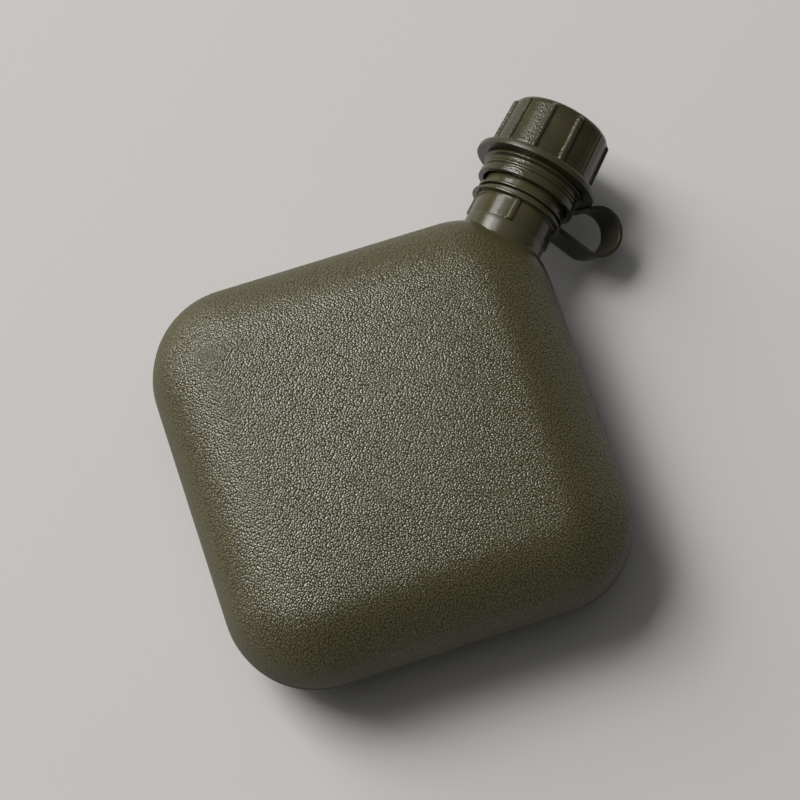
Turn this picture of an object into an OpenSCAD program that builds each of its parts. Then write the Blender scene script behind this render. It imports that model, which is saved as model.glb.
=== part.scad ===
// Soft two-quart canteen: a square, round-edged bladder with a rigid neck at
// one corner, a ribbed screw cap, and a moulded strap that keeps the cap.
// Millimetres. The canteen lies flat: +X runs along the neck towards the cap,
// +Z is up, and the origin is under the middle of the overall outline.
// Stations along the neck are measured from the middle of the bladder.

/* [Bladder] */
// Length of each side of the square bladder
body_side = 190; // [160:1:220]
// Thickness of the bladder, filled
body_thickness = 72; // [64:1:78]
// Radius of the bladder's corners, seen from above
corner_radius = 41.75; // [40:0.25:55]
// Wall of the blow-moulded bladder
body_wall = 2; // [1.5:0.1:3]

/* [Neck] */
// Outer radius of the neck under its flange
neck_radius = 19.35; // [19:0.05:19.5]
// Outer radius of the threaded part of the spout
finish_radius = 18.4; // [18.2:0.05:18.5]
// Radius of the hole that the water runs through
bore_radius = 14.9; // [13:0.1:15.5]
// Length of the neck that stands out of the bladder's corner, to its flange
neck_reach = 11.4; // [9:0.1:14]
// Number of small ribs that stiffen the flange
gusset_count = 4; // [2:1:6]

/* [Thread] */
// Rise of the thread in one turn
thread_pitch = 6.35; // [6:0.05:6.6]
// Turns of thread on the spout
spout_thread_turns = 1.75; // [1:0.25:2]
// Turns of thread inside the cap
cap_thread_turns = 1.5; // [1:0.25:1.75]

/* [Cap] */
// Height of the cap above its strap groove
grip_height = 26.9; // [26:0.1:30]
// Radius of the grip at its foot, between the ribs
grip_foot_radius = 24.6; // [24.4:0.1:25.2]
// Radius of the grip at its top, between the ribs
grip_top_radius = 23.7; // [23.5:0.1:24.2]
// Number of grip ribs
grip_rib_count = 11; // [6:1:14]
// Turn of the first grip rib away from straight up
grip_rib_start = -11.5; // [-30:0.5:30]

/* [Strap] */
// Thickness of the strap and of its neck ring
strap_thickness = 2; // [1.8:0.1:2]
// Width of the loop that joins the two rings
strap_width = 18.5; // [14:0.5:20]
// Outer radius of the loop's bend
loop_radius = 12.3; // [12.1:0.1:12.6]
// Turn of the loop below level, on the -Y side
strap_droop = 26; // [0:1:30]

/* [Hidden] */
$fn = 96;

bladder_colour = [0.36, 0.35, 0.28];
neck_colour = [0.33, 0.32, 0.25];
cap_colour = [0.30, 0.29, 0.22];
strap_colour = [0.26, 0.25, 0.20];
liner_colour = [0.12, 0.12, 0.11];

// Bladder
edge_radius = body_thickness / 2;
corner_inset = body_side / 2 - corner_radius;
corner_reach = corner_inset * sqrt(2) + corner_radius;

// Stations along the neck
sleeve_inner_end = corner_reach - 11;
sleeve_end = corner_reach + 0.4;
flange_low = corner_reach + neck_reach;
flange_high = flange_low + 1.3;
keeper_low = flange_high + 2.75;
keeper_high = keeper_low + 1.2;
skirt_low = keeper_high + 4.1;
skirt_band_high = skirt_low + 3.2;
lip_high = skirt_low + 9.6;
groove_high = lip_high + 5;
cap_top = groove_high + grip_height;
cap_ceiling = cap_top - 3;
liner_thickness = 2.5;
mouth = cap_ceiling - liner_thickness;

// Radii along the neck
sleeve_radius = neck_radius + 0.25;
sleeve_bore = sleeve_radius - 2.2;
flange_radius = neck_radius + 3.3;
keeper_radius = finish_radius + 3;
cap_bore = finish_radius + 2.2;
skirt_radius = cap_bore + 2.7;
skirt_band_radius = skirt_radius + 0.75;
lip_radius = skirt_radius + 2.1;
groove_radius = skirt_radius + 0.2;
collar_radius = grip_foot_radius + 0.35;
collar_height = 2.6;
grip_round = 3.3;
gusset_radius = 1.5;
gusset_stand = 1.15;
grip_rib_radius = 1.35;

// Thread
thread_depth = 1.8;
thread_foot = 2.6;
thread_crest = 1.4;
thread_sink = 0.5;
thread_low = lip_high + 7.6;
thread_facets = 48;

// Strap
ring_play = 0.4;
cap_ring_radius = groove_radius + 6.4;
cap_ring_low = lip_high + 0.3;
cap_ring_high = groove_high - 0.3;
cap_ring_round = 1.8;
neck_ring_radius = finish_radius + 2.6;
neck_ring_middle = (flange_high + keeper_low) / 2;
loop_middle_radius = loop_radius - strap_thickness / 2;
loop_centre = [38.2, neck_ring_middle + 10.4];

// The outline's middle lies half way between the rear corner and the cap
body_x = -(cap_top - corner_reach) / 2;

// Turns a shape drawn about +Z onto the neck's axis, its zero at the bladder's
// middle, and leaves its +X side facing down
module on_neck() {
    translate([body_x, 0, body_thickness / 2]) rotate([0, 90, 0]) children();
}

// Places a shape at an angle around the neck; 0 is straight up and a
// positive angle turns towards -Y
module around_neck(angle) {
    rotate([0, 0, 180 + angle]) children();
}

// A square with round corners and full round edges, inset from the bladder's
// outer surface
module pillow(inset) {
    edge = edge_radius - inset;
    flat = corner_radius - edge_radius;
    module half_section() {
        translate([0, -edge]) square([flat, 2 * edge]);
        intersection() {
            translate([flat, 0]) circle(edge);
            translate([flat, -edge]) square([edge, 2 * edge]);
        }
    }
    translate([-corner_inset, -corner_inset, -edge])
        cube([2 * corner_inset, 2 * corner_inset, 2 * edge]);
    for (quarter = [0 : 3]) rotate([0, 0, 90 * quarter]) {
        translate([corner_inset, corner_inset, 0])
            rotate_extrude(angle = 90) half_section();
        translate([corner_inset, corner_inset, 0]) rotate([90, 0, 0])
            linear_extrude(2 * corner_inset) half_section();
    }
}

// A helical ridge from one radius to another. It stands on the foot radius,
// rises by the pitch each turn and fades out over a short run at both ends.
module thread_ridge(foot_r, crest_r, turns) {
    steps = round(turns * thread_facets);
    fade = thread_facets / 8;
    function ease(i) = min(1, i / fade, (steps - i) / fade);
    function tip(i) = foot_r + (crest_r - foot_r) * max(0.05, ease(i));
    function at(i, r, dz) = let (t = 360 * i / thread_facets)
        [r * cos(t), r * sin(t), thread_pitch * i / thread_facets + dz];
    function ring(i) = [at(i, foot_r, -thread_foot / 2), at(i, tip(i), -thread_crest / 2),
                        at(i, tip(i), thread_crest / 2), at(i, foot_r, thread_foot / 2)];
    points = [for (i = [0 : steps]) each ring(i)];
    outward = crest_r > foot_r;
    function quad(a, b, c, d) = outward ? [a, b, c, d] : [d, c, b, a];
    sides = [for (i = [0 : steps - 1]) for (k = [0 : 3])
        let (a = 4 * i + k, b = 4 * i + (k + 1) % 4) quad(a, b, b + 4, a + 4)];
    polyhedron(points, concat([quad(3, 2, 1, 0)], sides,
        [quad(4 * steps, 4 * steps + 1, 4 * steps + 2, 4 * steps + 3)]), convexity = 6);
}

module body_bladder() {
    color(bladder_colour) difference() {
        union() {
            translate([body_x, 0, body_thickness / 2]) rotate([0, 0, 45]) difference() {
                pillow(0);
                pillow(body_wall);
            }
            on_neck() translate([0, 0, sleeve_inner_end])
                cylinder(h = sleeve_end - sleeve_inner_end, r = sleeve_radius);
        }
        on_neck() translate([0, 0, sleeve_inner_end - 20])
            cylinder(h = 60, r = sleeve_bore);
    }
}

module spout() {
    rounding = 0.8;
    color(neck_colour) on_neck() {
        rotate_extrude() polygon([
            [bore_radius, sleeve_inner_end], [sleeve_bore, sleeve_inner_end],
            [sleeve_bore, sleeve_end], [neck_radius, sleeve_end],
            [neck_radius, flange_low - 0.5], [neck_radius + 0.5, flange_low],
            [flange_radius - 0.2, flange_low], [flange_radius, flange_low + 0.2],
            [flange_radius, flange_high - 0.3], [flange_radius - 0.3, flange_high],
            [finish_radius, flange_high], [finish_radius, keeper_low],
            [keeper_radius - 0.2, keeper_low], [keeper_radius, keeper_low + 0.2],
            [keeper_radius, keeper_high - 0.4], [keeper_radius - 0.4, keeper_high],
            [finish_radius, keeper_high], [finish_radius, mouth - rounding],
            [finish_radius - rounding, mouth], [bore_radius + rounding / 2, mouth],
            [bore_radius, mouth - rounding / 2]]);
        for (i = [0 : gusset_count - 1]) around_neck(i * 360 / gusset_count)
            translate([neck_radius + gusset_stand - gusset_radius, 0, sleeve_end + 0.2])
                cylinder(h = flange_low + 0.2 - sleeve_end, r = gusset_radius);
        translate([0, 0, thread_low])
            thread_ridge(finish_radius - thread_sink, finish_radius + thread_depth,
                         spout_thread_turns);
    }
}

module cap() {
    taper = atan((grip_foot_radius - grip_top_radius) / (cap_top - groove_high - grip_round));
    rib_length = grip_height - grip_round;
    module shell_section() {
        difference() {
            union() {
                polygon([
                    [0, lip_high], [cap_bore, skirt_low], [skirt_band_radius - 0.3, skirt_low],
                    [skirt_band_radius, skirt_low + 0.3], [skirt_band_radius, skirt_band_high - 0.4],
                    [skirt_band_radius - 0.4, skirt_band_high], [skirt_radius, skirt_band_high],
                    [skirt_radius, lip_high - 2.4], [lip_radius, lip_high - 0.9],
                    [lip_radius, lip_high - 0.3], [lip_radius - 0.3, lip_high],
                    [groove_radius, lip_high], [groove_radius, groove_high],
                    [collar_radius - 0.2, groove_high], [collar_radius, groove_high + 0.2],
                    [collar_radius, groove_high + collar_height],
                    [grip_foot_radius, groove_high + collar_height + 0.3],
                    [grip_top_radius, cap_top - grip_round],
                    [grip_top_radius - grip_round, cap_top], [0, cap_top]]);
                translate([grip_top_radius - grip_round, cap_top - grip_round])
                    circle(grip_round);
                translate([skirt_radius - 0.4, skirt_band_high + 1.3]) circle(1);
            }
            translate([0, skirt_low - 1]) square([cap_bore, cap_ceiling - skirt_low + 1]);
        }
    }
    color(cap_colour) on_neck() {
        rotate_extrude() shell_section();
        for (i = [0 : grip_rib_count - 1]) around_neck(grip_rib_start + i * 360 / grip_rib_count) {
            translate([grip_foot_radius - 0.1, 0, groove_high]) rotate([0, -taper, 0]) {
                cylinder(h = rib_length, r = grip_rib_radius);
                translate([0, 0, rib_length]) sphere(grip_rib_radius);
            }
            translate([grip_foot_radius + 0.15, 0, groove_high])
                cylinder(h = collar_height, r = grip_rib_radius);
        }
        translate([0, 0, thread_low + thread_pitch / 2])
            thread_ridge(cap_bore + thread_sink, finish_radius + 0.35, cap_thread_turns);
    }
}

module cap_liner() {
    color(liner_colour) on_neck() translate([0, 0, mouth])
        cylinder(h = liner_thickness, r = cap_bore - 0.6);
}

module strap_cap_ring() {
    corner = [cap_ring_radius - cap_ring_round, cap_ring_high - cap_ring_round];
    color(strap_colour) on_neck() rotate_extrude() {
        polygon([
            [groove_radius + ring_play, cap_ring_low], [cap_ring_radius - 0.3, cap_ring_low],
            [cap_ring_radius, cap_ring_low + 0.3], [cap_ring_radius, corner[1]],
            corner, [corner[0], cap_ring_high], [groove_radius + ring_play, cap_ring_high]]);
        intersection() {
            translate(corner) circle(cap_ring_round);
            translate(corner) square(cap_ring_round);
        }
    }
}

module strap_neck_ring() {
    color(strap_colour) on_neck()
        translate([0, 0, neck_ring_middle - strap_thickness / 2]) difference() {
            cylinder(h = strap_thickness, r = neck_ring_radius);
            translate([0, 0, -1])
                cylinder(h = strap_thickness + 2, r = finish_radius + ring_play);
        }
}

// The loop's outline lies in the plane through the neck's axis: a round bend
// from the cap ring, and a straight leg that leaves it at a tangent and ends
// in the neck ring
module loop_outline() {
    root = [neck_ring_radius - 3, neck_ring_middle];
    reach = loop_centre - root;
    leg_slope = atan2(reach[1], reach[0]) - asin(loop_middle_radius / norm(reach));
    leg_length = sqrt(reach * reach - loop_middle_radius * loop_middle_radius);
    big = 2 * loop_radius;
    difference() {
        translate(loop_centre) circle(loop_radius);
        translate(loop_centre) circle(loop_radius - strap_thickness);
        translate(loop_centre) polygon([
            [0, 0], big * [cos(leg_slope - 90), sin(leg_slope - 90)],
            [-big, -big], [-big, 0.4 * big]]);
    }
    translate(root) rotate(leg_slope) translate([0, -strap_thickness / 2])
        square([leg_length, strap_thickness]);
}

module strap_loop() {
    color(strap_colour) on_neck() around_neck(90 + strap_droop) difference() {
        translate([0, strap_width / 2, 0]) rotate([90, 0, 0])
            linear_extrude(strap_width) loop_outline();
        translate([0, 0, neck_ring_middle - 5]) cylinder(h = 10, r = neck_ring_radius);
        translate([0, 0, cap_ring_low - 5]) cylinder(h = 10 + groove_high - lip_high,
                                                     r = cap_ring_radius);
    }
}

body_bladder();
spout();
strap_neck_ring();
strap_loop();
strap_cap_ring();
cap();
cap_liner();
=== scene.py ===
"""A soft two-quart canteen lying on its broad face, in metres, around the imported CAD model."""
import math

import bmesh
import bpy
import numpy as np
from mathutils import Matrix, Vector, noise


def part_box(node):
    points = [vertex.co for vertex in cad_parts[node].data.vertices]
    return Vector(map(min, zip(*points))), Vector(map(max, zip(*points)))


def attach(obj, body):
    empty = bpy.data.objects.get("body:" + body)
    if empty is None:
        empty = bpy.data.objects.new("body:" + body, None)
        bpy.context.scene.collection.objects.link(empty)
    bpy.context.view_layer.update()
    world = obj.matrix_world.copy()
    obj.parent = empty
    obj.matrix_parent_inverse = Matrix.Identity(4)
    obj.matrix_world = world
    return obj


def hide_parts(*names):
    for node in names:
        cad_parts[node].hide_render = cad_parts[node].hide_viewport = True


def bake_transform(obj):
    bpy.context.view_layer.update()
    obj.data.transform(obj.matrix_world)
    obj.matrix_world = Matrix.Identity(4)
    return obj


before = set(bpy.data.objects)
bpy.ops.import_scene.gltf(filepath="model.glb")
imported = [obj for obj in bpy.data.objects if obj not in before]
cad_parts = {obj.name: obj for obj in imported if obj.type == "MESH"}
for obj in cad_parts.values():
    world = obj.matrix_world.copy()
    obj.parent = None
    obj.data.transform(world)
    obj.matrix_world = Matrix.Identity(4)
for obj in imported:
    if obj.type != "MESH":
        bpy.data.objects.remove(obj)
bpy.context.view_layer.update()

MM = 0.001

# ------------------------------------------------------------------ places from the frame
BLADDER_LO, BLADDER_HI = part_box("body_bladder")
SPOUT_LO, SPOUT_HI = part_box("spout")
CAP_LO, CAP_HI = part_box("cap")
LINER_LO, LINER_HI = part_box("cap_liner")
NECK_RING_LO, NECK_RING_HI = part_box("strap_neck_ring")
CAP_RING_LO, CAP_RING_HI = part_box("strap_cap_ring")

THICKNESS = BLADDER_HI.z - BLADDER_LO.z
AXIS_Z = (BLADDER_LO.z + BLADDER_HI.z) / 2
REACH = (BLADDER_HI.y - BLADDER_LO.y) / 2      # middle to corner, along a diagonal
BODY_X = BLADDER_LO.x + REACH

# ------------------------------------------------------------------ sizes that the solids have
CORNER_RADIUS = 41.75 * MM
CORNER_INSET = (REACH - CORNER_RADIUS) / math.sqrt(2)
HALF_SIDE = CORNER_INSET + CORNER_RADIUS
EDGE_DEPTH = THICKNESS / 2
WALL = 2 * MM
FINISH_RADIUS = 18.4 * MM
BORE_RADIUS = 14.9 * MM
NECK_RADIUS = 19.35 * MM
SLEEVE_RADIUS = 19.6 * MM
SLEEVE_BORE = 17.4 * MM
FLANGE_RADIUS = (SPOUT_HI.y - SPOUT_LO.y) / 2
KEEPER_RADIUS = FINISH_RADIUS + 3 * MM
COLLAR_RADIUS = FINISH_RADIUS + 1.4 * MM
CAP_BORE = FINISH_RADIUS + 2.2 * MM
THREAD_PITCH = 6.35 * MM
SPOUT_THREAD_TURNS = 1.75
CAP_THREAD_TURNS = 1.5

FLANGE_LOW = BODY_X + REACH + 11.4 * MM
FLANGE_HIGH = FLANGE_LOW + 1.3 * MM
KEEPER_LOW = FLANGE_HIGH + 2.75 * MM
KEEPER_HIGH = KEEPER_LOW + 1.2 * MM
SLEEVE_END = BLADDER_HI.x
SKIRT_LOW = CAP_LO.x
LIP_HIGH = SKIRT_LOW + 9.6 * MM
GROOVE_HIGH = LIP_HIGH + 5 * MM
CAP_TOP = CAP_HI.x
THREAD_LOW = LIP_HIGH + 7.6 * MM
MOUTH = SPOUT_HI.x


# ------------------------------------------------------------------ mesh helpers
def smoothstep(low, high, value):
    """0 below low, 1 above high, and smooth between; arrays are fine."""
    t = np.clip((value - low) / (high - low), 0, 1)
    return t * t * (3 - 2 * t)


def new_mesh(name, points, faces):
    """A smooth-shaded object from points and faces, at the row's origin."""
    mesh = bpy.data.meshes.new(name)
    mesh.from_pydata([tuple(p) for p in points], [], faces)
    mesh.validate()
    mesh.shade_smooth()
    made = bpy.data.objects.new(name, mesh)
    bpy.context.scene.collection.objects.link(made)
    return made


def round_corners(corners, steps=5):
    """A polyline of (radius, station) points from corners (radius, station, rounding)."""
    count = len(corners)
    line = []
    for i, (r, x, rounding) in enumerate(corners):
        here = np.array([r, x])
        if rounding == 0:
            line.append(here)
            continue
        back = np.array(corners[i - 1][:2]) - here
        ahead = np.array(corners[(i + 1) % count][:2]) - here
        back /= np.linalg.norm(back)
        ahead /= np.linalg.norm(ahead)
        half_angle = math.acos(np.clip(back @ ahead, -1, 1)) / 2
        cut = rounding / math.tan(half_angle)
        bisector = (back + ahead) / np.linalg.norm(back + ahead)
        centre = here + bisector * rounding / math.sin(half_angle)
        first = here + back * cut - centre
        last = here + ahead * cut - centre
        turn = math.atan2(first[0] * last[1] - first[1] * last[0], first @ last)
        for k in range(steps + 1):
            a = turn * k / steps
            line.append(centre + np.array([
                first[0] * math.cos(a) - first[1] * math.sin(a),
                first[0] * math.sin(a) + first[1] * math.cos(a)]))
    return np.array(line)


def refine(line, longest, closed):
    """The polyline with points added, so that no stretch is over the longest allowed."""
    out = []
    count = len(line)
    for i in range(count if closed else count - 1):
        a, b = line[i], line[(i + 1) % count]
        pieces = max(1, math.ceil(np.linalg.norm(b - a) / longest))
        out += [a + (b - a) * k / pieces for k in range(pieces)]
    if not closed:
        out.append(line[-1])
    return np.array(out)


def thin(line, plain, kept=6):
    """The polyline with only one in so many of its plain points, between the same ends."""
    wanted = ~plain | (np.arange(len(line)) % kept == 0)
    wanted[[0, -1]] = True
    return line[wanted]


def lathe(name, line, segments, bump=None, closed=True):
    """Turns a polyline of (radius, station) round the neck's axis.

    bump(radius, station, angle) gives an added radius; angle is 0 straight up and grows
    towards -Y. An open line starts and ends on the axis.
    """
    inner = line if closed else line[1:-1]
    angle = np.arange(segments) * 2 * math.pi / segments
    radius = np.repeat(inner[:, :1], segments, axis=1)
    station = np.repeat(inner[:, 1:], segments, axis=1)
    if bump is not None:
        radius = radius + bump(radius, station, angle[None, :])
    points = np.stack([station, -radius * np.sin(angle), AXIS_Z + radius * np.cos(angle)], -1)
    points = points.reshape(-1, 3)
    rows = len(inner)
    faces = []
    for i in range(rows if closed else rows - 1):
        a, b = i * segments, (i + 1) % rows * segments
        for k in range(segments):
            n = (k + 1) % segments
            faces.append((a + k, b + k, b + n, a + n))
    if not closed:
        first, last = len(points), len(points) + 1
        points = np.vstack([points, [line[0][1], 0, AXIS_Z], [line[-1][1], 0, AXIS_Z]])
        end = (rows - 1) * segments
        for k in range(segments):
            n = (k + 1) % segments
            faces.append((first, k, n))
            faces.append((last, end + n, end + k))
    return new_mesh(name, points, faces)


def face_outwards(piece):
    """Turns the faces of a closed mesh so that its volume is positive."""
    work = bmesh.new()
    work.from_mesh(piece.data)
    bmesh.ops.recalc_face_normals(work, faces=work.faces)
    if work.calc_volume(signed=True) < 0:
        bmesh.ops.reverse_faces(work, faces=work.faces)
    work.to_mesh(piece.data)
    work.free()


def crisp(piece):
    """The piece with its faces turned outwards and its edges over 50 degrees kept sharp."""
    face_outwards(piece)
    piece.data.set_sharp_from_angle(angle=math.radians(50))
    return piece


def boolean(piece, cutter, operation):
    """Adds or takes away another closed mesh, which is then deleted."""
    step = piece.modifiers.new("join", "BOOLEAN")
    step.operation, step.object, step.solver = operation, cutter, "EXACT"
    bpy.context.view_layer.objects.active = piece
    piece.select_set(True)
    bpy.ops.object.modifier_apply(modifier=step.name)
    bpy.data.objects.remove(cutter)


# ------------------------------------------------------------------ bladder
def outline_ring(inset, steps=26, straight=22):
    """Plan points of the bladder's outline, moved inwards: a square with round corners,
    its corners on X and Y."""
    radius = CORNER_RADIUS - inset
    pinch = CORNER_INSET if radius >= 0 else CORNER_INSET + radius
    radius = max(radius, 0)
    ring = []
    for quarter in range(4):
        turn = quarter * math.pi / 2
        for k in range(steps):
            a = -math.pi / 4 + math.pi / 2 * k / steps
            ring.append((turn, pinch + radius * math.cos(a + math.pi / 4),
                         pinch + radius * math.sin(a + math.pi / 4)))
        for k in range(straight):
            t = k / straight
            ring.append((turn, pinch * (1 - 2 * t), pinch + radius))
    points = []
    for turn, x, y in ring:
        c, s = math.cos(turn - math.pi / 4), math.sin(turn - math.pi / 4)
        points.append((x * c - y * s, x * s + y * c))
    return np.array(points)


def pillow(name, shrink, levels, seam=True):
    """The bladder's closed outer form, or a smaller one inside it.

    The edge is a superellipse in section. The upper face is crowned, the lower one is
    flat where the canteen rests, and a fine ridge runs where the mould's halves met.
    A ring is its inset from the outline, and its height as a share of the edge's depth.
    """
    exponent = 2.2
    profile = []
    for k in range(levels + 1):
        s = -math.pi / 2 + math.pi * k / levels
        side = 1 if s > 0 else -1
        profile.append((EDGE_DEPTH * (1 - abs(math.cos(s)) ** (2 / exponent)),
                        side * abs(math.sin(s)) ** (2 / exponent)))
    if seam:
        ridge, half_crest = 0.25 * MM, 0.004
        profile = [(inset + ridge, height) for inset, height in profile
                   if abs(height) > 5 * half_crest]
        middle = len(profile) // 2
        profile[middle:middle] = [
            (ridge, -4 * half_crest), (ridge, -2 * half_crest), (0, -half_crest),
            (0, half_crest), (ridge, 2 * half_crest), (ridge, 4 * half_crest)]
    rings = []
    inner_steps = 14
    flat = [EDGE_DEPTH + (HALF_SIDE - EDGE_DEPTH) * (1 - (k + 0.5) / inner_steps)
            for k in range(inner_steps)]
    rings += [(inset, -1) for inset in flat]
    rings += profile[1:-1]
    rings += [(inset, 1) for inset in reversed(flat)]
    points = []
    for inset, height in rings:
        plan = outline_ring(min(inset + shrink, HALF_SIDE - 1 * MM))
        z = height * (EDGE_DEPTH - shrink)
        points.append(np.column_stack([plan, np.full(len(plan), z)]))
    per_ring = len(points[0])
    points = np.vstack(points)
    low, high = len(points), len(points) + 1
    points = np.vstack([points, [0, 0, -(EDGE_DEPTH - shrink)], [0, 0, EDGE_DEPTH - shrink]])
    faces = []
    for i in range(len(rings) - 1):
        a, b = i * per_ring, (i + 1) * per_ring
        for k in range(per_ring):
            n = (k + 1) % per_ring
            faces.append((a + k, a + n, b + n, b + k))
    top = (len(rings) - 1) * per_ring
    for k in range(per_ring):
        n = (k + 1) % per_ring
        faces.append((low, n, k))
        faces.append((high, top + k, top + n))
    shape_face(points)
    points += [BODY_X, 0, AXIS_Z]
    made = new_mesh(name, points, faces)
    face_outwards(made)
    return made


def shape_face(points):
    """Crowns the upper face, and lets the soft wall wander by a fraction of a millimetre."""
    crown, squareness = 7 * MM, 2.6
    wander_depth, coarse, finer = 0.35 * MM, 22, 55
    turned = np.abs(np.column_stack([points[:, 0] + points[:, 1], points[:, 0] - points[:, 1]]))
    across = (turned ** squareness).sum(1) ** (1 / squareness) / math.sqrt(2) / HALF_SIDE
    upper = smoothstep(0.25 * EDGE_DEPTH, EDGE_DEPTH, points[:, 2])
    points[:, 2] -= crown * across ** 2 * upper
    for p in points:
        wander = noise.noise(Vector(p) * coarse) + 0.5 * noise.noise(Vector(p) * finer)
        lift = np.clip(p[2] / EDGE_DEPTH, 0, 1)
        p[2] -= wander_depth * (wander + 1) / 2 * lift


def build_bladder():
    """The hollow bladder with the sleeve that holds the spout."""
    skin = pillow("bladder_skin", 0, 56)
    sleeve_line = round_corners([
        (0, SPOUT_LO.x, 0), (SLEEVE_RADIUS, SPOUT_LO.x, 0),
        (SLEEVE_RADIUS, SLEEVE_END, 0.3 * MM), (0, SLEEVE_END, 0)])
    sleeve = lathe("sleeve", refine(sleeve_line, 2 * MM, False), 160, closed=False)
    face_outwards(sleeve)
    boolean(skin, sleeve, "UNION")
    hollow = pillow("hollow", WALL, 24, seam=False)
    boolean(skin, hollow, "DIFFERENCE")
    bore_low, bore_high = SPOUT_LO.x - 25 * MM, SLEEVE_END + 5 * MM
    bore_line = np.array([(0, bore_low), (SLEEVE_BORE, bore_low),
                          (SLEEVE_BORE, bore_high), (0, bore_high)])
    bore = lathe("bore", bore_line, 96, closed=False)
    face_outwards(bore)
    boolean(skin, bore, "DIFFERENCE")
    skin.data.shade_smooth()
    skin.data.set_sharp_from_angle(angle=math.radians(38))
    return skin


# ------------------------------------------------------------------ thread, shared by spout and cap
def thread_height(station, angle, low, turns, depth):
    """Radial height of a right-hand thread at a point of a cylinder; less than 0 inside.

    Turns are counted from straight down, and the lathe's angles start straight up, so the
    first half turn is left out: the thread starts at the top, at its full height.
    """
    half_crest, half_foot, fade = 0.6 * MM, 1.4 * MM, 0.12
    turn = (math.pi + angle) / (2 * math.pi)
    along = (station - low) / THREAD_PITCH - turn
    nearest = np.clip(np.round(along), 0, math.ceil(turns) - 1)
    travelled = nearest + turn
    off = np.abs(along - nearest) * THREAD_PITCH
    body = 1 - smoothstep(half_crest, half_foot, off)
    ends = smoothstep(0, fade, travelled) * (1 - smoothstep(turns - fade, turns, travelled))
    return depth * body * ends


# ------------------------------------------------------------------ spout
def build_spout():
    """The rigid neck with its flange, keeper, collar and thread."""
    collar_high = SKIRT_LOW + 1.6 * MM
    corners = [
        (BORE_RADIUS, SPOUT_LO.x, 0.3 * MM), (SLEEVE_BORE, SPOUT_LO.x, 0.3 * MM),
        (SLEEVE_BORE, SLEEVE_END, 0.05 * MM), (NECK_RADIUS, SLEEVE_END, 0.25 * MM),
        (NECK_RADIUS, FLANGE_LOW, 0.6 * MM), (FLANGE_RADIUS, FLANGE_LOW, 0.3 * MM),
        (FLANGE_RADIUS, FLANGE_HIGH, 0.4 * MM), (FINISH_RADIUS, FLANGE_HIGH, 0.3 * MM),
        (FINISH_RADIUS, KEEPER_LOW, 0.3 * MM), (KEEPER_RADIUS, KEEPER_LOW, 0.25 * MM),
        (KEEPER_RADIUS, KEEPER_HIGH, 0.5 * MM), (COLLAR_RADIUS, KEEPER_HIGH, 0.4 * MM),
        (COLLAR_RADIUS, collar_high, 0.4 * MM), (FINISH_RADIUS, collar_high, 0.4 * MM),
        (FINISH_RADIUS, MOUTH, 0.7 * MM), (BORE_RADIUS, MOUTH, 0.4 * MM)]
    line = refine(round_corners(corners), 0.5 * MM, True)
    line = thin(line, np.isclose(line[:, 0], BORE_RADIUS) | np.isclose(line[:, 0], SLEEVE_BORE))

    def bump(radius, station, angle):
        outside = radius > BORE_RADIUS + 1.5 * MM
        finish = outside & (station > SKIRT_LOW + 3 * MM)
        thread = thread_height(station, angle, THREAD_LOW, SPOUT_THREAD_TURNS, 1.8 * MM)
        below_flange = outside & (station < FLANGE_LOW + 0.7 * MM) & (station > SLEEVE_END)
        gusset = np.maximum(0, NECK_RADIUS + gusset_height(station, angle) - radius)
        return np.where(finish, thread, 0) + np.where(below_flange, gusset, 0)

    return crisp(lathe("spout_body", line, 336, bump))


def gusset_height(station, angle):
    """Radial height of the four round ribs that stiffen the flange."""
    half_width, stand = 1.55 * MM, 1.15 * MM
    quarter = math.pi / 2
    off = np.abs((angle + quarter / 2) % quarter - quarter / 2) * NECK_RADIUS
    dome = np.sqrt(np.clip(1 - (off / half_width) ** 2, 0, 1)) ** 0.65
    lower = smoothstep(SLEEVE_END + 0.1 * MM, SLEEVE_END + 0.45 * MM, station)
    return stand * dome * lower


# ------------------------------------------------------------------ cap
GRIP_RIBS = 11
GRIP_RIB_START = math.radians(-11.5)
GRIP_RADIUS = 24.3 * MM


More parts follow.
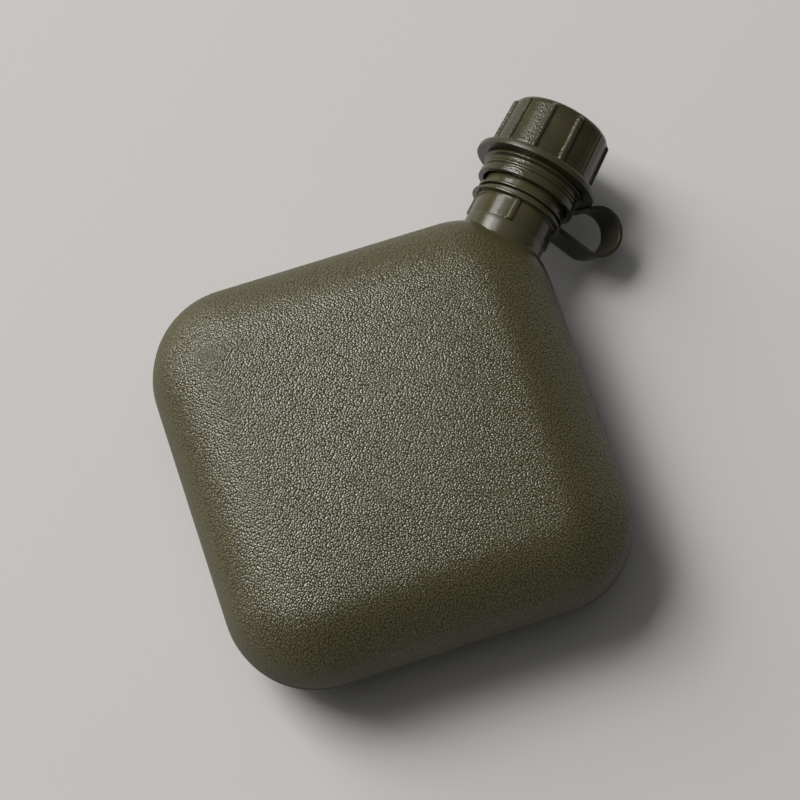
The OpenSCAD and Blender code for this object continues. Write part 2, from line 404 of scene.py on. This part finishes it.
def build_cap():
    """The screw cap: its grip, the groove and lip for the strap's ring, and its skirt."""
    skirt, bead, band = 22.8 * MM, 23.6 * MM, 24.05 * MM
    lip, groove, collar = 25 * MM, 23.5 * MM, 24.95 * MM
    foot, top = 24.6 * MM, 23.7 * MM
    corners = [
        (0, CAP_TOP, 0), (top, CAP_TOP, 3.2 * MM),
        (foot, GROOVE_HIGH + 2.8 * MM, 0.1 * MM), (collar, GROOVE_HIGH + 2.6 * MM, 0.15 * MM),
        (collar, GROOVE_HIGH, 0.3 * MM), (groove, GROOVE_HIGH, 0.3 * MM),
        (groove, LIP_HIGH, 0.2 * MM), (lip, LIP_HIGH, 0.25 * MM),
        (lip, LIP_HIGH - 0.8 * MM, 0.25 * MM), (skirt, LIP_HIGH - 1.5 * MM, 0.3 * MM),
        (skirt, LIP_HIGH - 3.2 * MM, 0.6 * MM), (bead, LIP_HIGH - 4.2 * MM, 0.3 * MM),
        (bead, LIP_HIGH - 4.9 * MM, 0.2 * MM), (skirt, LIP_HIGH - 5.3 * MM, 0.2 * MM),
        (skirt, LIP_HIGH - 6.4 * MM, 0.2 * MM), (band, LIP_HIGH - 6.4 * MM, 0.3 * MM),
        (band, SKIRT_LOW, 0.3 * MM), (CAP_BORE + 1.1 * MM, SKIRT_LOW, 0.3 * MM),
        (CAP_BORE, SKIRT_LOW + 2.4 * MM, 0.6 * MM),
        (CAP_BORE, LINER_HI.x, 0.8 * MM), (0, LINER_HI.x, 0)]
    line = refine(round_corners(corners), 0.5 * MM, False)
    line = thin(line, line[:, 0] < CAP_BORE - 1 * MM)

    def bump(radius, station, angle):
        inner = radius <= CAP_BORE + 0.01 * MM
        on_grip = ~inner & (station > GROOVE_HIGH + 0.15 * MM)
        on_bore = inner & (station > GROOVE_HIGH) & (station < LINER_LO.x)
        rib = rib_height(station, angle) * smoothstep(20 * MM, 23 * MM, radius)
        thread = thread_height(station, angle, THREAD_LOW + THREAD_PITCH / 2, CAP_THREAD_TURNS,
                               -1.85 * MM)
        return np.where(on_grip, rib, 0) + np.where(on_bore, thread, 0)

    return crisp(lathe("cap_shell", line, GRIP_RIBS * 32, bump, closed=False))


def rib_height(station, angle):
    """Radial height of the grip's ribs, round in section and rounded off at the top."""
    half_width, stand = 1.4 * MM, 1.2 * MM
    spacing = 2 * math.pi / GRIP_RIBS
    off = (angle - GRIP_RIB_START + spacing / 2) % spacing - spacing / 2
    off = np.abs(off) * GRIP_RADIUS
    dome = np.sqrt(np.clip(1 - (off / half_width) ** 2, 0, 1)) ** 0.8
    fillet = 0.12 * (1 - smoothstep(half_width * 0.8, half_width * 1.7, off))
    end = 1 - smoothstep(CAP_TOP - 3.4 * MM, CAP_TOP - 1.6 * MM, station)
    return stand * (dome + fillet) * end


def build_liner():
    """The seal disc inside the cap."""
    radius = (LINER_HI.y - LINER_LO.y) / 2
    corners = [(0, LINER_LO.x, 0), (radius, LINER_LO.x, 0.3 * MM),
               (radius, LINER_HI.x, 0.3 * MM), (0, LINER_HI.x, 0)]
    line = refine(round_corners(corners), 1 * MM, False)
    return crisp(lathe("seal_disc", line, 128, closed=False))


# ------------------------------------------------------------------ strap
STRAP_DROOP = math.radians(26)
STRAP_WIDTH = 18.5 * MM
STRAP_THICKNESS = 2 * MM
LOOP_RADIUS = 12.3 * MM
STRAP_STATION = (FLANGE_HIGH + KEEPER_LOW) / 2
LOOP_CENTRE = np.array([38.2 * MM, STRAP_STATION + 10.4 * MM])


def build_ring(name, low, high, inner, outer, low_round, high_round):
    """One of the strap's rings, between two stations."""
    corners = [(inner, low, 0.25 * MM), (outer, low, low_round),
               (outer, high, high_round), (inner, high, 0.25 * MM)]
    return crisp(lathe(name, refine(round_corners(corners, 7), 0.8 * MM, True), 192))


def loop_path():
    """The middle line of the strap's loop: a leg from the neck ring, then a round bend that
    ends inside the cap ring."""
    middle = LOOP_RADIUS - STRAP_THICKNESS / 2
    ring_radius = (NECK_RING_HI.y - NECK_RING_LO.y) / 2
    root = np.array([ring_radius - 3 * MM, STRAP_STATION])
    reach = LOOP_CENTRE - root
    slope = math.atan2(reach[1], reach[0]) - math.asin(middle / np.linalg.norm(reach))
    leg = math.sqrt(reach @ reach - middle ** 2)
    along = np.array([math.cos(slope), math.sin(slope)])
    start = root + 1.6 * MM * along
    bend_start = root + leg * along
    leg_steps, bend_steps = 12, 64
    path = [start + (bend_start - start) * k / leg_steps for k in range(leg_steps)]
    first, last = slope - math.pi / 2, math.radians(150)
    for k in range(bend_steps + 1):
        a = first + (last - first) * k / bend_steps
        path.append(LOOP_CENTRE + middle * np.array([math.cos(a), math.sin(a)]))
    return np.array(path)


def build_loop():
    """The strap's loop: a flat band with round edges swept along its middle line."""
    path = loop_path()
    tangent = np.gradient(path, axis=0)
    tangent /= np.linalg.norm(tangent, axis=1)[:, None]
    normal = np.stack([tangent[:, 1], -tangent[:, 0]], 1)
    outward = np.array([0, -math.cos(STRAP_DROOP), -math.sin(STRAP_DROOP)])
    across = np.array([0, -math.sin(STRAP_DROOP), math.cos(STRAP_DROOP)])
    section = band_section(STRAP_WIDTH / 2, STRAP_THICKNESS / 2, 0.5 * MM)
    points = []
    for p, n in zip(path, normal):
        for w, t in section:
            r, x = p + n * t
            points.append(np.array([x, 0, AXIS_Z]) + outward * r + across * w)
    size = len(section)
    end = (len(path) - 1) * size
    faces = [tuple(range(size)), tuple(end + k for k in reversed(range(size)))]
    for i in range(len(path) - 1):
        for k in range(size):
            n = (k + 1) % size
            faces.append((i * size + k, (i + 1) * size + k, (i + 1) * size + n, i * size + n))
    return crisp(new_mesh("strap_loop_band", points, faces))


def band_section(half_width, half_thick, rounding, steps=4, across=10):
    """Points round a flat band's section, with rounded corners."""
    section = []
    for sx, sy, start in ((1, 1, 0), (-1, 1, 90), (-1, -1, 180), (1, -1, 270)):
        cx, cy = sx * (half_width - rounding), sy * (half_thick - rounding)
        for k in range(steps + 1):
            a = math.radians(start + 90 * k / steps)
            section.append((cx + rounding * math.cos(a), cy + rounding * math.sin(a)))
        if sx * sy > 0:
            span = 2 * (half_width - rounding)
            section += [(cx - sx * span * k / across, cy + sy * rounding)
                        for k in range(1, across)]
    return section


# ------------------------------------------------------------------ materials
def principled(name, colour, roughness):
    """A new material and its Principled shader."""
    material = bpy.data.materials.new(name)
    material.use_nodes = True
    shader = material.node_tree.nodes["Principled BSDF"]
    shader.inputs["Base Color"].default_value = (*colour, 1)
    shader.inputs["Roughness"].default_value = roughness
    return material, shader


def add(tree, kind, inputs=None, **settings):
    """A node with its settings and its unlinked input values."""
    node = tree.nodes.new(kind)
    for key, value in settings.items():
        setattr(node, key, value)
    for key, value in (inputs or {}).items():
        node.inputs[key].default_value = value
    return node


def object_noise(tree, scale, detail=2.0, roughness=0.5):
    """Noise in the object's own space."""
    place = add(tree, "ShaderNodeTexCoord")
    made = add(tree, "ShaderNodeTexNoise",
               {"Scale": scale, "Detail": detail, "Roughness": roughness})
    tree.links.new(place.outputs["Object"], made.inputs["Vector"])
    return made


def ramp(tree, source, low, high, from_min=0.0, from_max=1.0):
    """Maps a value smoothly from one range to another."""
    node = add(tree, "ShaderNodeMapRange", interpolation_type="SMOOTHSTEP")
    for key, value in (("From Min", from_min), ("From Max", from_max),
                       ("To Min", low), ("To Max", high)):
        node.inputs[key].default_value = value
    tree.links.new(source, node.inputs["Value"])
    return node.outputs["Result"]


def math_node(tree, operation, a, b):
    """One arithmetic step; a and b are sockets or numbers."""
    node = add(tree, "ShaderNodeMath", operation=operation)
    for socket, value in zip(node.inputs, (a, b)):
        if isinstance(value, (int, float)):
            socket.default_value = value
        else:
            tree.links.new(value, socket)
    return node.outputs[0]


def colour_between(tree, factor, first, second):
    """A colour mixed by a factor socket."""
    node = add(tree, "ShaderNodeMix", data_type="RGBA")
    node.inputs["A"].default_value = (*first, 1)
    node.inputs["B"].default_value = (*second, 1)
    tree.links.new(factor, node.inputs["Factor"])
    return node.outputs["Result"]


def bump_from(tree, shader, height, distance):
    """Feeds a height, as a share of the distance in metres, to the shader's normal."""
    node = add(tree, "ShaderNodeBump", {"Strength": 1.0, "Distance": distance})
    tree.links.new(height, node.inputs["Height"])
    tree.links.new(node.outputs["Normal"], shader.inputs["Normal"])


def bladder_material():
    """Pebbled olive plastic on the broad faces, smooth round the edge and near the neck."""
    pebbles_per_metre, grain_depth = 960, 0.21 * MM
    border_low, border_high, ragged_by = 9 * MM, 22 * MM, 26 * MM    # from the middle plane
    neck_near, neck_far = BODY_X + 99 * MM, BODY_X + 109 * MM
    # painted shade: the colour darkens into each pebble's valley; painted light: it lightens on
    # each pebble's top
    valley_painted_shade, top_painted_light = (0.036, 0.032, 0.013), (0.084, 0.075, 0.031)
    smooth, sleeve = (0.054, 0.048, 0.020), (0.042, 0.037, 0.017)
    material, shader = principled("bladder_olive", (0.08, 0.07, 0.045), 0.5)
    tree = material.node_tree
    place = add(tree, "ShaderNodeTexCoord")
    split = add(tree, "ShaderNodeSeparateXYZ")
    tree.links.new(place.outputs["Object"], split.inputs["Vector"])
    above = math_node(tree, "SUBTRACT", split.outputs["Z"], AXIS_Z)
    height = math_node(tree, "ABSOLUTE", above, 0.0)
    ragged = object_noise(tree, 900, 2)
    edge = math_node(tree, "MULTIPLY", math_node(tree, "SUBTRACT", ragged.outputs["Fac"], 0.5),
                     ragged_by)
    ragged_height = math_node(tree, "ADD", height, edge)
    on_face = ramp(tree, ragged_height, 0, 1, border_low, border_high)
    off_neck = ramp(tree, split.outputs["X"], 1, 0, neck_near, neck_far)
    grain_mask = math_node(tree, "MULTIPLY", on_face, off_neck)

    pebble = add(tree, "ShaderNodeTexVoronoi",
                 {"Scale": pebbles_per_metre, "Randomness": 0.85, "Smoothness": 0.15},
                 voronoi_dimensions="2D", feature="SMOOTH_F1")
    tree.links.new(place.outputs["Object"], pebble.inputs["Vector"])
    fall = math_node(tree, "MULTIPLY", pebble.outputs["Distance"], 1.5)
    dome = math_node(tree, "SUBTRACT", 1.0, fall)
    grain = math_node(tree, "MULTIPLY", dome, grain_mask)
    fine = object_noise(tree, 1500, 2)
    fine_depth = math_node(tree, "ADD", math_node(tree, "MULTIPLY", grain_mask, 0.8), 0.08)
    fine_height = math_node(tree, "MULTIPLY", fine.outputs["Fac"], fine_depth)
    bump_from(tree, shader, math_node(tree, "ADD", grain, fine_height), grain_depth)

    # the pebbles' colour follows their height: painted shade in the valleys, painted light on the
    # tops
    pebble_light_and_shade = colour_between(tree, ramp(tree, dome, 0, 1, 0.2, 0.85), valley_painted_shade, top_painted_light)
    tint = add(tree, "ShaderNodeMix", data_type="RGBA")
    tree.links.new(grain_mask, tint.inputs["Factor"])
    near_sleeve = ramp(tree, split.outputs["X"], 0, 1, SPOUT_LO.x - 12 * MM, SPOUT_LO.x)
    plain = colour_between(tree, near_sleeve, smooth, sleeve)
    tree.links.new(plain, tint.inputs["A"])
    tree.links.new(pebble_light_and_shade, tint.inputs["B"])
    tree.links.new(tint.outputs["Result"], shader.inputs["Base Color"])
    cloud = object_noise(tree, 18, 3)
    grain_gloss = ramp(tree, cloud.outputs["Fac"], 0.185, 0.245, 0.3, 0.7)
    satin = math_node(tree, "MULTIPLY", math_node(tree, "SUBTRACT", off_neck, grain_mask), 0.4)
    gloss = math_node(tree, "ADD", math_node(tree, "ADD", grain_gloss, satin),
                      math_node(tree, "MULTIPLY", fine.outputs["Fac"], 0.06))
    tree.links.new(gloss, shader.inputs["Roughness"])
    shader.inputs["Specular IOR Level"].default_value = 0.6
    return material


def moulded_material(name, dark, light, roughness, fine_bump=0.03):
    """Smooth moulded plastic, with a faint orange-peel, cloudy colour and uneven gloss."""
    material, shader = principled(name, light, roughness)
    tree = material.node_tree
    cloud = object_noise(tree, 60, 4, 0.6)
    clouded = colour_between(tree, ramp(tree, cloud.outputs["Fac"], 0, 1, 0.3, 0.7), dark, light)
    tree.links.new(clouded, shader.inputs["Base Color"])
    peel = object_noise(tree, 1000, 2)
    scuff = object_noise(tree, 420, 5, 0.65)
    gloss = ramp(tree, scuff.outputs["Fac"], roughness - 0.03, roughness + 0.05, 0.35, 0.7)
    tree.links.new(gloss, shader.inputs["Roughness"])
    bump_from(tree, shader, peel.outputs["Fac"], fine_bump * MM)
    shader.inputs["Specular IOR Level"].default_value = 0.4
    return material


def floor_material():
    """Plain pale matt floor."""
    material, shader = principled("floor_pale", (0.438, 0.427, 0.410), 0.9)
    shader.inputs["Specular IOR Level"].default_value = 0.15
    return material


# ------------------------------------------------------------------ camera, light and floor
def build_camera():
    """The camera looks down at the canteen from behind its rear corner."""
    tilt, azimuth, roll = math.radians(15.5), math.radians(200.65), math.radians(26.65)
    distance, lens, sensor = 1.24645, 122.97, 36.0
    target = Vector((BODY_X + 23.39 * MM, 7.57 * MM, AXIS_Z))
    back = Vector((math.sin(tilt) * math.cos(azimuth), math.sin(tilt) * math.sin(azimuth),
                   math.cos(tilt)))
    forward = -back
    right = forward.cross(Vector((math.cos(roll), math.sin(roll), 0))).normalized()
    down = forward.cross(right)
    data = bpy.data.cameras.new("camera")
    data.lens, data.sensor_width, data.sensor_fit = lens, sensor, "HORIZONTAL"
    data.clip_start, data.clip_end = 0.05, 20
    camera = bpy.data.objects.new("camera", data)
    axes = Matrix((right, -down, back)).transposed().to_4x4()
    camera.matrix_world = Matrix.Translation(target + back * distance) @ axes
    bpy.context.scene.collection.objects.link(camera)
    bpy.context.scene.camera = camera
    return right, -down


def area_light(name, towards, distance, size, energy):
    """A square soft light aimed at the canteen from that direction."""
    data = bpy.data.lights.new(name, "AREA")
    data.shape, data.size, data.energy = "SQUARE", size, energy
    light = bpy.data.objects.new(name, data)
    light.location = Vector((BODY_X, 0, AXIS_Z)) + towards.normalized() * distance
    light.rotation_mode = "QUATERNION"
    light.rotation_quaternion = towards.to_track_quat("Z", "Y")
    bpy.context.scene.collection.objects.link(light)
    return light


def build_lights(right, up):
    """Soft studio light: a key from the picture's upper left, and a dim sky. The fill and the
    overhead light leave no highlight, and the sheen light gives nothing but its highlight."""
    flat_right = Vector((right.x, right.y, 0)).normalized()
    flat_up = Vector((up.x, up.y, 0)).normalized()
    above = Vector((0, 0, 1))
    area_light("key", -0.66 * flat_right + 0.42 * flat_up + above, 6.0, 2.8, 380)
    fill = area_light("fill", -0.8 * flat_right + 0.6 * flat_up + 0.4 * above, 6.0, 4.0, 230)
    fill.visible_glossy = False
    sheen = area_light("sheen", -0.65 * flat_right + 0.6 * flat_up + 0.6 * above, 6.0, 2.2, 100)
    sheen.visible_diffuse = False
    overhead = area_light("overhead", -0.2 * flat_right + 0.15 * flat_up + above, 4.0, 4.0, 30)
    overhead.visible_glossy = False
    world = bpy.data.worlds.new("sky")
    world.use_nodes = True
    world.node_tree.nodes["Background"].inputs["Color"].default_value = (1, 1, 1, 1)
    world.node_tree.nodes["Background"].inputs["Strength"].default_value = 0.08
    bpy.context.scene.world = world


def build_floor():
    """A plain square floor at the canteen's resting height."""
    half = 4.0
    corners = [(-half, -half, 0), (half, -half, 0), (half, half, 0), (-half, half, 0)]
    floor = new_mesh("floor", corners, [(0, 1, 2, 3)])
    floor.data.materials.append(floor_material())


# ------------------------------------------------------------------ put together
def dress(piece, material, slot, *nodes):
    """Gives a piece its material, and hides the CAD nodes that it stands for. The slot is not used.
    """
    piece.data.materials.clear()
    piece.data.materials.append(material)
    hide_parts(*nodes)


right, up = build_camera()
build_lights(right, up)
build_floor()
bpy.context.scene.view_settings.view_transform = "Standard"

bladder = build_bladder()
dress(bladder, bladder_material(), "bladder_plastic", "body_bladder")
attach(bladder, "canteen")

neck_olive = moulded_material("neck_olive", (0.036, 0.032, 0.015), (0.048, 0.043, 0.020), 0.17)
spout = build_spout()
dress(spout, neck_olive, "neck_plastic", "spout")
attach(spout, "canteen")

cap_olive = moulded_material("cap_olive", (0.028, 0.025, 0.012), (0.038, 0.034, 0.016), 0.18,
                             fine_bump=0.15)
cap = build_cap()
dress(cap, cap_olive, "cap_plastic", "cap")
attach(cap, "cap")

liner_black = moulded_material("liner_black", (0.018, 0.018, 0.017), (0.028, 0.028, 0.026), 0.6)
liner = build_liner()
dress(liner, liner_black, "liner_rubber", "cap_liner")
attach(liner, "liner")

strap_olive = moulded_material("strap_olive", (0.032, 0.029, 0.014), (0.042, 0.038, 0.019), 0.3,
                               fine_bump=0.02)
# painted shade: the loop's olive is the strap's olive made darker, for the shadow it lies in
loop_painted_shade_olive = moulded_material("loop_painted_shade_olive", (0.018, 0.016, 0.009), (0.026, 0.024, 0.014), 0.34,
                              fine_bump=0.02)
cap_ring = build_ring("strap_ring_cap", CAP_RING_LO.x + 0.7 * MM, CAP_RING_HI.x, 23.9 * MM,
                      (CAP_RING_HI.y - CAP_RING_LO.y) / 2, 0.3 * MM, 1.8 * MM)
dress(cap_ring, strap_olive, "strap_plastic", "strap_cap_ring")
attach(cap_ring, "cap_ring")
neck_ring = build_ring("strap_ring_neck", NECK_RING_LO.x, NECK_RING_HI.x, 18.8 * MM,
                       20.1 * MM, 0.4 * MM, 0.4 * MM)
dress(neck_ring, strap_olive, "strap_plastic", "strap_neck_ring")
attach(neck_ring, "neck_ring")
loop = build_loop()
dress(loop, loop_painted_shade_olive, "strap_plastic", "strap_loop")
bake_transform(loop)
